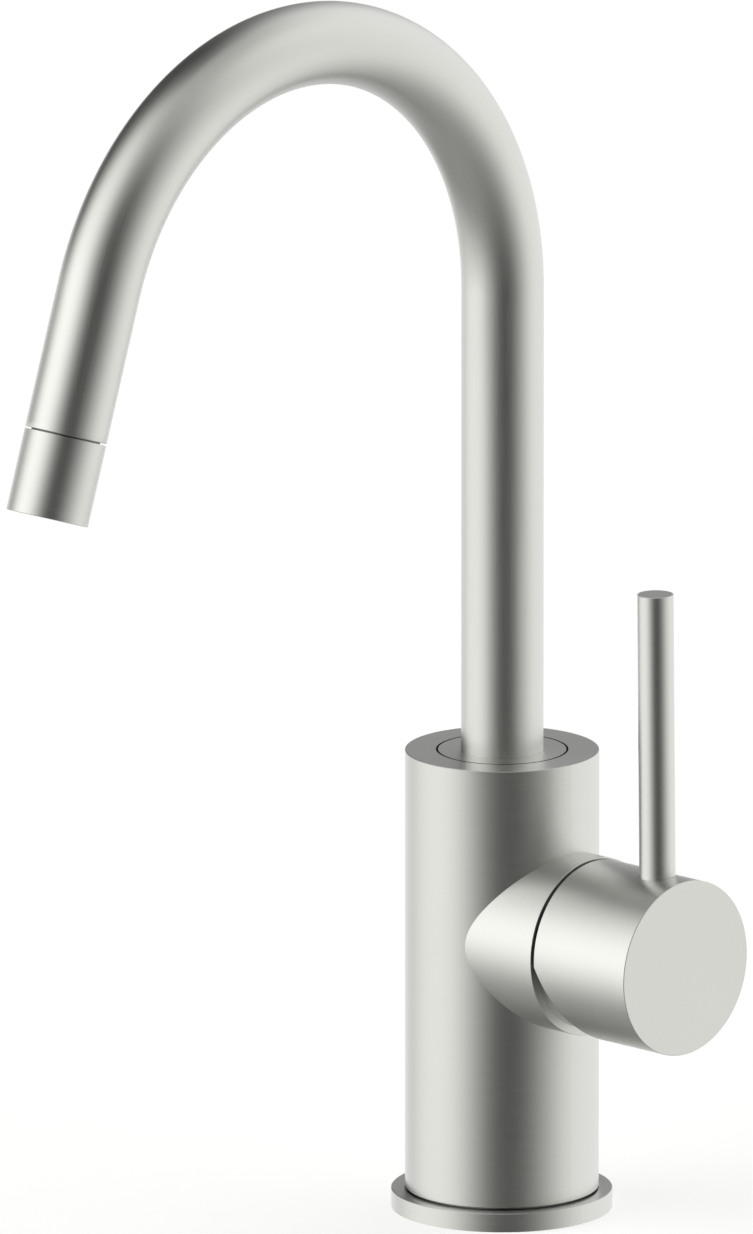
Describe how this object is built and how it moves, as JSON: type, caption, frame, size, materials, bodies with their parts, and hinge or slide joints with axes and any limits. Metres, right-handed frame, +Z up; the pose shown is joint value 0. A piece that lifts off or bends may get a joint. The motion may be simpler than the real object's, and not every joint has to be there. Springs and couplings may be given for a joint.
{
  "type": "basin mixer tap",
  "caption": "Single-lever basin mixer with a gooseneck spout on a round column, a side handle with a pin lever, and its valve cartridge inside.",
  "frame": {"origin": "centre of the column's base on the basin, which is also the mouth of the fixing stud's thread", "axes": "+Z up along the column, the spout reaches out along -Y, the handle's axis points along +X"},
  "size_m": [0.0847, 0.1838, 0.2961],
  "materials": {
    "satin_steel": "fine satin brushing",
    "screw_steel": "plain turned",
    "brass": "plain turned",
    "seal_rubber": "matt",
    "white_acetal": "moulded, slightly waxy",
    "grey_plastic": "moulded, fine grain",
    "blue_plastic": "moulded, fine grain",
    "valve_ceramic": "ground and lapped"
  },
  "bodies": {
    "body": {"column_body": "satin_steel", "base_flange": "satin_steel", "base_gasket": "seal_rubber", "spout_slip_ring": "white_acetal", "spout_keeper_screw": "screw_steel", "cartridge_nut": "brass", "cover_sleeve": "satin_steel", "cartridge_housing": "grey_plastic", "cartridge_base": "blue_plastic", "seat_seals": "seal_rubber", "disc_seals": "seal_rubber", "fixed_ceramic_disc": "valve_ceramic"},
    "spout": {"spout_foot": "satin_steel", "spout_o_rings": "seal_rubber", "spout_tube": "satin_steel", "outlet_nipple": "satin_steel", "outlet_washer": "seal_rubber", "outlet_shell": "satin_steel", "aerator_insert": "grey_plastic", "aerator_screen": "screw_steel", "flow_regulator": "white_acetal"},
    "rotor": {"cartridge_rotor": "white_acetal", "pivot_pin": "screw_steel"},
    "handle": {"cartridge_spindle": "brass", "handle_hub": "satin_steel", "handle_grub_screw": "screw_steel", "lever_pin": "satin_steel"},
    "valve_disc": {"disc_carrier": "white_acetal", "sliding_ceramic_disc": "valve_ceramic"}
  },
  "joints": [
    {"name": "spout_swivel", "type": "hinge", "parent": "body", "child": "spout", "pos_m": [0, 0, 0.1], "axis": [0, 0, 1], "range_deg": [-60, 60]},
    {"name": "handle_swing", "type": "hinge", "parent": "body", "child": "rotor", "pos_m": [0.0302, 0, 0.067], "axis": [1, 0, 0], "range_deg": [-50, 50]},
    {"name": "handle_tilt", "type": "hinge", "parent": "rotor", "child": "handle", "pos_m": [0.0302, 0, 0.067], "axis": [0, 1, 0], "range_deg": [0, 25]},
    {"name": "disc_slide", "type": "slide", "parent": "rotor", "child": "valve_disc", "axis": [0, 0, 1], "range_m": [0, 0.00469]}
  ],
  "couplings": [
    {"joint": "disc_slide", "follows": "handle_tilt", "m_per_rad": 0.010751}
  ]
}
